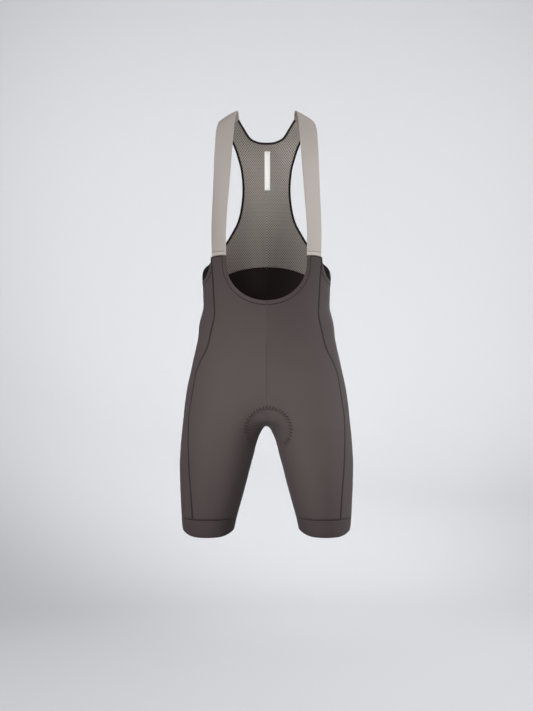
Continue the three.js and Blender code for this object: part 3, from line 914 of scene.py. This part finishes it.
# The seams up the middle lie in the fold between the two halves
def middle_stations(edge, top, bottom=CROTCH + 0.5, step=3.0):
    line = line_down(edge, top, bottom, step)
    points = []
    for place in line:
        point = surface(place) + outward(place) * crease(place)
        points.append(Vector((0, point.y, point.z)))
    result = []
    for i, point in enumerate(points):
        ahead = points[min(i + 1, len(points) - 1)]
        behind = points[max(i - 1, 0)]
        along = (ahead - behind).normalized()
        across = Vector((1, 0, 0))
        facing = across.cross(along).normalized()
        if facing.dot(outward(line[i])) < 0:
            facing = -facing
        result.append((point, across, facing))
    return result


# The pieces
def build_panels():
    shapes = {
        "front": (panel(front_top, middle_front, seam_front), 66),
        "side": (panel(side_top, seam_front, seam_back), 46),
        "seat": (panel(seat_top, seam_back, middle_back), 56),
    }
    for name, (place, columns) in shapes.items():
        for hand, side in HANDS:
            node = f"{name}_{hand}"
            points = OnSurface(place)
            materials = [finishes["knit"], finishes["shaded_inside"]]
            piece = cloth(f"{node}_cloth", columns, PANEL_ROWS, points, side, materials, KNIT, 1)
            dress(piece, node)


def build_bands():
    for hand, side in HANDS:
        piece = band_ring(f"leg_band_{hand}_cloth", side)
        dress(piece, f"leg_band_{hand}")


# A hem band, folded double at its lower edge
def band_ring(name, side):
    top = BAND_TOP - SEAM_GAP / 2
    height = top - HEM
    steps = 96
    rows = 22
    bm = bmesh.new()
    layer = bm.loops.layers.uv.new("UVMap")
    bmesh.ops.create_grid(bm, x_segments=steps, y_segments=rows, size=0.5)
    grid = {}
    for vertex in bm.verts:
        i = round((vertex.co.x + 0.5) * steps)
        j = round((0.5 - vertex.co.y) * rows)
        grid[vertex] = (i, j)
        angle = 2 * math.pi * (i % steps) / steps
        lowest = HEM + HEM_LIFT * math.cos(angle) ** 4
        share = j / rows
        # Down the outside, round the fold, and up the inside
        if share <= 0.45:
            z = mix(top, lowest + BAND / 2, share / 0.45)
            depth = 0.0
        elif share < 0.55:
            turn = math.pi * (share - 0.45) / 0.1
            z = lowest + BAND / 2 - BAND / 2 * math.sin(turn)
            depth = BAND / 2 * (1 - math.cos(turn))
        else:
            z = mix(lowest + BAND / 2, top, (share - 0.55) / 0.45)
            depth = BAND
        place = (angle, z)
        swell = 0.35 * math.sin(math.pi * min(share / 0.45, 1.0))
        spot = surface(place) + outward(place) * (swell - depth)
        vertex.co = Vector((spot.x * side, spot.y, spot.z)) * MM
    for face in bm.faces:
        for loop in face.loops:
            i, j = grid[loop.vert]
            loop[layer].uv = (0.37 * i / steps, 2 * height * MM * j / rows)
    bmesh.ops.remove_doubles(bm, verts=bm.verts, dist=1e-6)
    rims = [edge for edge in bm.edges if edge.is_boundary]
    bmesh.ops.bridge_loops(bm, edges=rims)
    bmesh.ops.recalc_face_normals(bm, faces=bm.faces)
    return new_object(name, bm, [finishes["band"]])


class StrapPoints:
    """The strap's outer face: across from the neck side, down from the base to the yoke."""

    def __init__(self):
        keys = range(len(STRAP["in_x"]))
        self.columns = {name: through(keys, values) for name, values in STRAP.items()}
        self.last = len(STRAP["in_x"]) - 1
        self.seam = (neck_fine[-1], arm_fine[-1])

    def edge(self, which, at):
        return Vector([self.columns[f"{which}_{axis}"](at) for axis in "xyz"])

    def station(self, share):
        at = share * self.last
        a = self.edge("in", at)
        b = self.edge("out", at)
        ahead = self.edge("in", at + 0.1) + self.edge("out", at + 0.1)
        along = (ahead - self.edge("in", at - 0.1) - self.edge("out", at - 0.1)).normalized()
        facing = (b - a).cross(along).normalized()
        return a, b, facing, self.columns["camber"](at)

    def facing(self, across, down):
        return self.station(down)[2]

    def bare(self, across, down):
        a, b, facing, camber = self.station(down)
        return a.lerp(b, across) + facing * (camber * 4 * across * (1 - across))

    # Both ends are shifted onto their seams
    def __call__(self, across, down):
        spot = self.bare(across, down)
        low = smooth(0.06, 0.0, down)
        high = smooth(0.94, 1.0, down)
        if low:
            base = surface(strap_base(across)) + Vector((0, 0, SEAM_GAP))
            spot = spot + (base - self.bare(across, 0.0)) * low
        if high:
            seam = surface(between(self.seam[0], self.seam[1], across))
            spot = spot + (seam - self.bare(across, 1.0)) * high
        return spot


def build_straps():
    for hand, side in HANDS:
        points = StrapPoints()
        materials = [finishes["elastic"]]
        piece = cloth(f"strap_{hand}_elastic", 16, 150, points, side, materials, ELASTIC)
        edge = piece.modifiers.new("soft edges", "BEVEL")
        edge.width = 0.5 * MM
        edge.segments = 2
        edge.limit_method = "ANGLE"
        dress(piece, f"strap_{hand}")
        hem = sweep(
            f"strap_hem_{hand}", strap_stations(points, 0.0085), flat_outline(5.4, -0.5, 0.22),
            [finishes["strap_hem"]], side,
        )
        trim(hem, "elastic")
        rows = [(strap_stations(points, 0.0185)[1:-1], 0.0, 0.05)]
        sewn = stitches(
            f"strap_stitches_{hand}", rows, side, finishes["light_thread"], length=2.3, radius=0.45
        )
        trim(sewn, "elastic")


# Stations across the strap at a share of its length
def strap_stations(points, share):
    facing = points.facing(0.5, share)
    return [(points(i / 16, share), Vector((0, 0, 1)), facing) for i in range(17)]


# How far the mesh reaches into its binding
MESH_TUCK = 2.0


def build_yoke():
    room = BINDING_WIDTH - MESH_TUCK
    columns = 64
    back_rows = 96
    neck_rows = 34
    split = next(i for i, place in enumerate(arm_fine) if place[1] > -88)
    arm = evenly(arm_fine[: split + 1], back_rows) + evenly(arm_fine[split:], neck_rows)[1:]
    neck = evenly(neck_fine, neck_rows)
    outer = inset(arm, room)
    inner_neck = list(reversed(inset(list(reversed(neck)), room)))
    inner_neck[0] = (BEHIND, inner_neck[0][1])
    lowest = (BEHIND, top_edge(270) + SEAM_GAP)
    bm = bmesh.new()
    layer = bm.loops.layers.uv.new("UVMap")
    rows = back_rows + neck_rows
    bmesh.ops.create_grid(bm, x_segments=columns, y_segments=rows, size=0.5)
    grid = {}
    for vertex in bm.verts:
        i = round((vertex.co.x + 0.5) * columns)
        j = round((0.5 - vertex.co.y) * rows)
        grid[vertex] = (i, j)
        share = i / columns
        above = j - back_rows
        inner = inner_neck[above] if above > 0 else between(lowest, inner_neck[0], j / back_rows)
        angle, z = between(inner, outer[j], share)
        arch = max(1 - j / back_rows, 0)
        seam = on_top_edge(mix(lowest[0], outer[0][0], share))
        z += arch * (seam[1] + SEAM_GAP - mix(lowest[1], outer[0][1], share))
        spot = surface((angle, z))
        if i == 0 and above <= 0:
            spot.x = 0.0
        vertex.co = spot * MM
    along = {}
    by_place = {place: vertex for vertex, place in grid.items()}
    for j in range(rows + 1):
        run = by_place[0, j].co.x
        for i in range(columns + 1):
            if i:
                run += (by_place[i, j].co - by_place[i - 1, j].co).length
            along[i, j] = run
    for face in bm.faces:
        for loop in face.loops:
            loop[layer].uv = (along[grid[loop.vert]], loop.vert.co.z)
    bmesh.ops.mirror(bm, geom=bm.verts[:] + bm.edges[:] + bm.faces[:], axis="X", merge_dist=1e-6)
    bmesh.ops.remove_doubles(bm, verts=bm.verts, dist=1e-6)
    bmesh.ops.recalc_face_normals(bm, faces=bm.faces)
    bm.faces.ensure_lookup_table()
    lowest_face = min(bm.faces, key=lambda f: (f.calc_center_median() - Vector((0, 0.09, -0.2))).length)
    if lowest_face.normal.y < 0:
        bmesh.ops.reverse_faces(bm, faces=bm.faces)
    piece = new_object("yoke_mesh", bm, [finishes["mesh"], finishes["mesh_inside"]])
    solidify(piece, MESH, 1)
    dress(piece, "yoke")


# Section of a binding: a thin tape folded over the edge, seen on both faces of the cloth
def binding_outline():
    half = BINDING_WIDTH / 2
    high = (BINDING - MESH) / 2
    low = high - BINDING
    radius = BINDING / 2
    section_line = [(mix(-half, half - radius, i / 4), high) for i in range(5)]
    for step in range(1, 6):
        turn = RIGHT_ANGLE - math.pi * step / 6
        corner = (half - radius + radius * math.cos(turn), high - radius + radius * math.sin(turn))
        section_line.append(corner)
    section_line += [(mix(half - radius, -half, i / 4), low) for i in range(5)]
    return section_line


def build_bindings():
    outline = binding_outline()
    wrap = [(-across, facing) for across, facing in outline]
    for hand, side in HANDS:
        line = evenly(inset(arm_fine, BINDING_WIDTH / 2), 110)
        piece = sweep(
            f"arm_binding_{hand}_tape", stations_on(line, False), wrap, [finishes["binding"]],
            side, open_sheet=BINDING_TAPE,
        )
        dress(piece, f"arm_binding_{hand}")
    half = list(reversed(inset(list(reversed(neck_fine)), BINDING_WIDTH / 2)))
    half[0] = (BEHIND, half[0][1])
    half = evenly(half, 34)
    left = stations_on(half, False)
    middle, across, facing = (Vector((0, item.y, item.z)) for item in left[0])
    left[0] = (middle, across.normalized(), facing.normalized())
    right = []
    for point, across, facing in reversed(left[1:]):
        flip = Vector((-1, 1, 1))
        right.append((point * flip, across * flip, facing * flip))
    piece = sweep(
        "neck_binding_tape", right + left, outline, [finishes["binding"]],
        open_sheet=BINDING_TAPE,
    )
    dress(piece, "neck_binding")


class LabelPoints:
    """The label's face towards the wearer, a little inside the yoke."""

    def facing(self, across, down):
        place = place_across(0.5, mix(LABEL["top"], LABEL["bottom"], down), False)
        return -outward(place)

    def __call__(self, across, down):
        x = LABEL["x"] + (across - 0.5) * LABEL["width"]
        z = mix(LABEL["top"], LABEL["bottom"], down)
        place = place_across(abs(x), z, False)
        spot = surface(place) - outward(place) * (MESH + LABEL_CLEARANCE + TAPE)
        spot.x = math.copysign(spot.x, x)
        return spot


def build_label():
    points = LabelPoints()
    piece = cloth("label_tape", 8, 40, points, 1, [finishes["label"]], TAPE)
    dress(piece, "label")
    rows = []
    for down in (0.02, 0.04, 0.96, 0.98):
        facing = points.facing(0.5, down)
        stations = [(points(0.12 + 0.095 * i, down), Vector((0, 0, 1)), facing) for i in range(9)]
        rows.append((stations, 0.0, 0.1))
    sewn = stitches(
        "label_stitches", rows, 1, finishes["light_thread"], pitch=1.8, length=1.3, radius=0.2
    )
    trim(sewn, "label")


def build_seams():
    flat = flat_outline(4.1, -0.5, 0.45)
    thin = flat_outline(2.4, -0.5, 0.14)
    strap_line = inset([strap_base(i / 24) for i in range(25)], 1.6)
    yoke_line = [on_top_edge(mix(math.radians(183), BEHIND, i / 60)) for i in range(61)]
    band_line = [(2 * math.pi * i / 96, BAND_TOP) for i in range(96)]
    for hand, side in HANDS:
        for name, line, outline in (
            ("front_side", front_side_line(), flat),
            ("back_side", back_side_line(), flat),
            ("inseam", inseam_line(), flat),
            ("yoke", yoke_line, thin),
            ("strap", strap_line, thin),
        ):
            piece = sweep(
                f"{name}_seam_{hand}", stations_on(line), outline, [finishes["flatlock"]], side
            )
            trim(piece, "knit")
        ring = stations_on(band_line + band_line[:1])[:-1]
        piece = sweep(f"band_seam_{hand}", ring, thin, [finishes["flatlock"]], side, ring=True)
        trim(piece, "band")
        # Folded edges of the neckline and the front armhole, each with a row of stitches
        fold = flat_outline(HEM_FOLD, -0.5, 0.42)
        for name, line in (("neck", neck_line(HEM_FOLD / 2)), ("arm", arm_front_line(HEM_FOLD / 2))):
            stations = stations_on(line)
            piece = sweep(f"{name}_fold_{hand}", stations, fold, [finishes["fold"]], side)
            trim(piece, "knit")
        line_outline = flat_outline(2.5, -0.5, 0.14)
        for name, line in (
            ("neck", neck_line(HEM_FOLD + 0.6)),
            ("arm", arm_front_line(HEM_FOLD + 0.6)),
        ):
            piece = sweep(
                f"{name}_fold_line_{hand}", stations_on(line), line_outline,
                [finishes["flatlock"]], side,
            )
            trim(piece, "knit")
        rows = [
            (stations_on(neck_line(HEM_FOLD + 0.3)), 0.0, 0.1),
            (stations_on(arm_front_line(HEM_FOLD + 0.3)), 0.0, 0.1),
        ]
        sewn = stitches(f"edge_stitches_{hand}", rows, side, finishes["thread"])
        trim(sewn, "knit")
    # In front the two halves are joined almost unseen, with a faint line below the waist
    cover = flat_outline(3.4, -0.6, 0.06)
    faint = flat_outline(1.0, -0.5, 0.12)
    painted_shade_part = flat_outline(3.4, -1.75, -1.3)
    for name, edge, top, bottom, outline, finish in (
        ("front_middle_join", middle_front, -404, CROTCH + 1, cover, "fold"),
        ("front_middle_seam", middle_front, -482, -602, faint, "groove"),
        ("back_middle_seam", middle_back, -328, CROTCH + 0.5, flat, "flatlock"),
        # A strip on the inner face along the back seam, coloured with the painted shade of the inside
        ("back_middle_inside", middle_back, -328, CROTCH + 4, painted_shade_part, "shaded_inside"),
    ):
        stations = middle_stations(edge, top, bottom)
        trim(sweep(name, stations, outline, [finishes[finish]]), "knit")


# Zigzag sewing that holds the seat pad: an arc round the crotch on the front. It lies a
# little to the wearer's left.
PAD_RING = {"aside": 4, "level": -666.5, "radius": 45, "width": 8.6, "wave": 6.7, "dip": 42}


def pad_point(turn, radius):
    x = PAD_RING["aside"] + radius * math.cos(turn)
    place = place_across(max(abs(x), 0.2), PAD_RING["level"] + radius * math.sin(turn), True)
    spot = surface(place) + outward(place) * (crease(place) + 0.15)
    spot.x = math.copysign(spot.x, x)
    return spot


def build_pad_sewing():
    first = math.radians(-PAD_RING["dip"])
    turn = math.pi - 2 * first
    count = round(turn * PAD_RING["radius"] / PAD_RING["wave"])
    outer = PAD_RING["radius"] + PAD_RING["width"] / 2
    inner = PAD_RING["radius"] - PAD_RING["width"] / 2
    bm = bmesh.new()
    for wave in range(count):
        low, middle, high = (first + turn * (wave + part) / count for part in (0, 0.4, 1))
        thread(bm, pad_point(low, outer), pad_point(middle, inner), 0.85, 1)
        thread(bm, pad_point(middle, inner), pad_point(high, outer), 0.4, 1)
    piece = new_object("pad_stitches", bm, [finishes["pad_thread"]])
    trim(piece, "knit")


# Camera, backdrop and lights
COOL = (0.98, 0.99, 1.0)
BEAMS = [
    # name, place, target, angle, power
    ("thighs", (-0.6, -3.0, -0.4), (0.06, -0.1, -0.67), 15, 80),
    ("right_thigh", (0.7, -3.0, -0.45), (-0.08, -0.08, -0.69), 6.5, 95),
    ("left_thigh", (-0.7, -3.0, -0.45), (0.075, -0.08, -0.67), 6.5, 115),
    ("right_waist", (-1.0, -2.9, -0.1), (-0.075, -0.1, -0.43), 6, 75),
    ("right_hip", (-1.0, -2.9, -0.2), (-0.065, -0.1, -0.585), 6, 40),
]
BACKDROP = {"floor": -1.5, "radius": 4.6, "height": 8.0, "bend": 2.0}


def build_stage():
    camera = bpy.data.cameras.new("camera")
    camera.lens = 72.3
    camera.sensor_width = 36
    eye = bpy.data.objects.new("camera", camera)
    eye.location = (0, -3.0, -0.5151)
    eye.rotation_euler = (RIGHT_ANGLE, 0, 0)
    bpy.context.scene.collection.objects.link(eye)
    bpy.context.scene.camera = eye

    floor = Finish("pale_floor", 0.9, specular=0.1)
    low, high = shades(linear(206, 207, 210), 0.01)
    floor.colour(floor.blend(floor.noise(0.7, 1), low, high))
    radius = BACKDROP["radius"]
    height = BACKDROP["height"]
    bm = bmesh.new()
    bmesh.ops.create_cone(
        bm, cap_ends=True, segments=128, radius1=radius, radius2=radius, depth=height
    )
    bmesh.ops.translate(bm, vec=(0, 0, BACKDROP["floor"] + height / 2), verts=bm.verts)
    lid = max(bm.faces, key=lambda face: face.calc_center_median().z)
    bmesh.ops.delete(bm, geom=[lid], context="FACES_ONLY")
    rim = [edge for edge in bm.edges if all(v.co.z < 0 for v in edge.verts)]
    bmesh.ops.bevel(
        bm, geom=rim, offset=BACKDROP["bend"], offset_type="OFFSET", segments=24, profile=0.5,
        affect="EDGES", material=-1,
    )
    bmesh.ops.recalc_face_normals(bm, faces=bm.faces)
    bmesh.ops.reverse_faces(bm, faces=bm.faces)
    backdrop = new_object("backdrop", bm, [floor.material])
    # The garment takes no light back from the backdrop, as where flags stand beside it
    backdrop.visible_diffuse = False
    backdrop.visible_glossy = False

    area_light("key", (-2.3, -2.8, 0.95), (0, 0, -0.4), 1.2, 51, (1.0, 0.99, 0.985))
    area_light("rim_right", (2.6, 0.2, -0.3), (0, 0, -0.5), 1.2, 34, COOL)
    area_light("rim_left", (-2.4, 0.4, -0.3), (0, 0, -0.5), 1.2, 1.5, COOL)
    area_light("fill", (1.4, -3.4, 0.8), (0, 0, -0.4), 1.6, 2.5, COOL)
    area_light("behind", (0.9, 3.0, 0.6), (0, 0, -0.4), 1.6, 40, COOL)
    for name, place, target, angle, power in BEAMS:
        spot_light(name, place, target, angle, power, 0.2)

    # The backdrop has lamps of its own, one for each quarter and one above, which nothing
    # else shades
    middle = Vector((0, 0, -0.3))
    lamps = []
    walls = ((0, 76, 680, 0.3), (1, 112, 430, 1.0), (2, 112, 430, 1.0), (3, 112, 430, 1.0))
    for quarter, angle, power, softness in walls:
        turn = quarter * RIGHT_ANGLE + 0.04
        ahead = Vector((math.sin(turn), math.cos(turn), 0.3 if quarter else 0.13))
        name = f"wall_{quarter}"
        lamps.append(spot_light(name, middle, middle + ahead, angle, power, softness))
    lamps.append(area_light("floor", (0, 0, 3.0), (0, 0, -1.5), 2.5, 95, (1, 1, 1)))
    for lamp in lamps:
        light_only(lamp, [backdrop])

    world = bpy.data.worlds.new("studio")
    world.use_nodes = True
    world.node_tree.nodes["Background"].inputs[0].default_value = (0.97, 0.98, 1.0, 1)
    world.node_tree.nodes["Background"].inputs[1].default_value = 0.18
    bpy.context.scene.world = world
    bpy.context.scene.view_settings.view_transform = "Standard"


def area_light(name, location, target, size, power, colour):
    light = bpy.data.lights.new(name, "AREA")
    light.shape = "DISK"
    light.size = size
    light.energy = power
    light.color = colour
    lamp = bpy.data.objects.new(name, light)
    lamp.location = location
    aim = Vector(target) - Vector(location)
    lamp.rotation_euler = aim.to_track_quat("-Z", "Y").to_euler()
    bpy.context.scene.collection.objects.link(lamp)
    return lamp


def spot_light(name, location, target, angle, power, softness):
    light = bpy.data.lights.new(name, "SPOT")
    light.spot_size = math.radians(angle)
    light.spot_blend = 1.0
    light.shadow_soft_size = softness
    light.energy = power
    lamp = bpy.data.objects.new(name, light)
    lamp.location = location
    aim = Vector(target) - Vector(location)
    lamp.rotation_euler = aim.to_track_quat("-Z", "Y").to_euler()
    bpy.context.scene.collection.objects.link(lamp)
    return lamp


# A lamp that lights some pieces alone, and that nothing else shades
def light_only(lamp, pieces):
    lit = bpy.data.collections.new(f"lit by {lamp.name}")
    for piece in pieces:
        lit.objects.link(piece)
    lamp.light_linking.receiver_collection = lit
    lamp.light_linking.blocker_collection = lit


# The mesh and the pale straps each have a small lamp, as with flags on a real set
def build_small_lamps():
    pieces = bpy.context.scene.objects
    straps = spot_light("straps", (1.5, -2.6, 0.2), (0.0, -0.07, -0.18), 17, 172, 0.3)
    light_only(straps, [piece for piece in pieces if piece.name.startswith("strap_")])
    yoke = spot_light("yoke", (-1.3, -2.7, 0.5), (0.045, 0.09, -0.03), 9, 510, 0.15)
    names = ("yoke_mesh", "label_tape", "label_stitches", "neck_binding_tape")
    light_only(yoke, [pieces[name] for name in names])


build_stage()
build_panels()
build_bands()
build_straps()
build_yoke()
build_bindings()
build_label()
build_seams()
build_pad_sewing()
build_small_lamps()
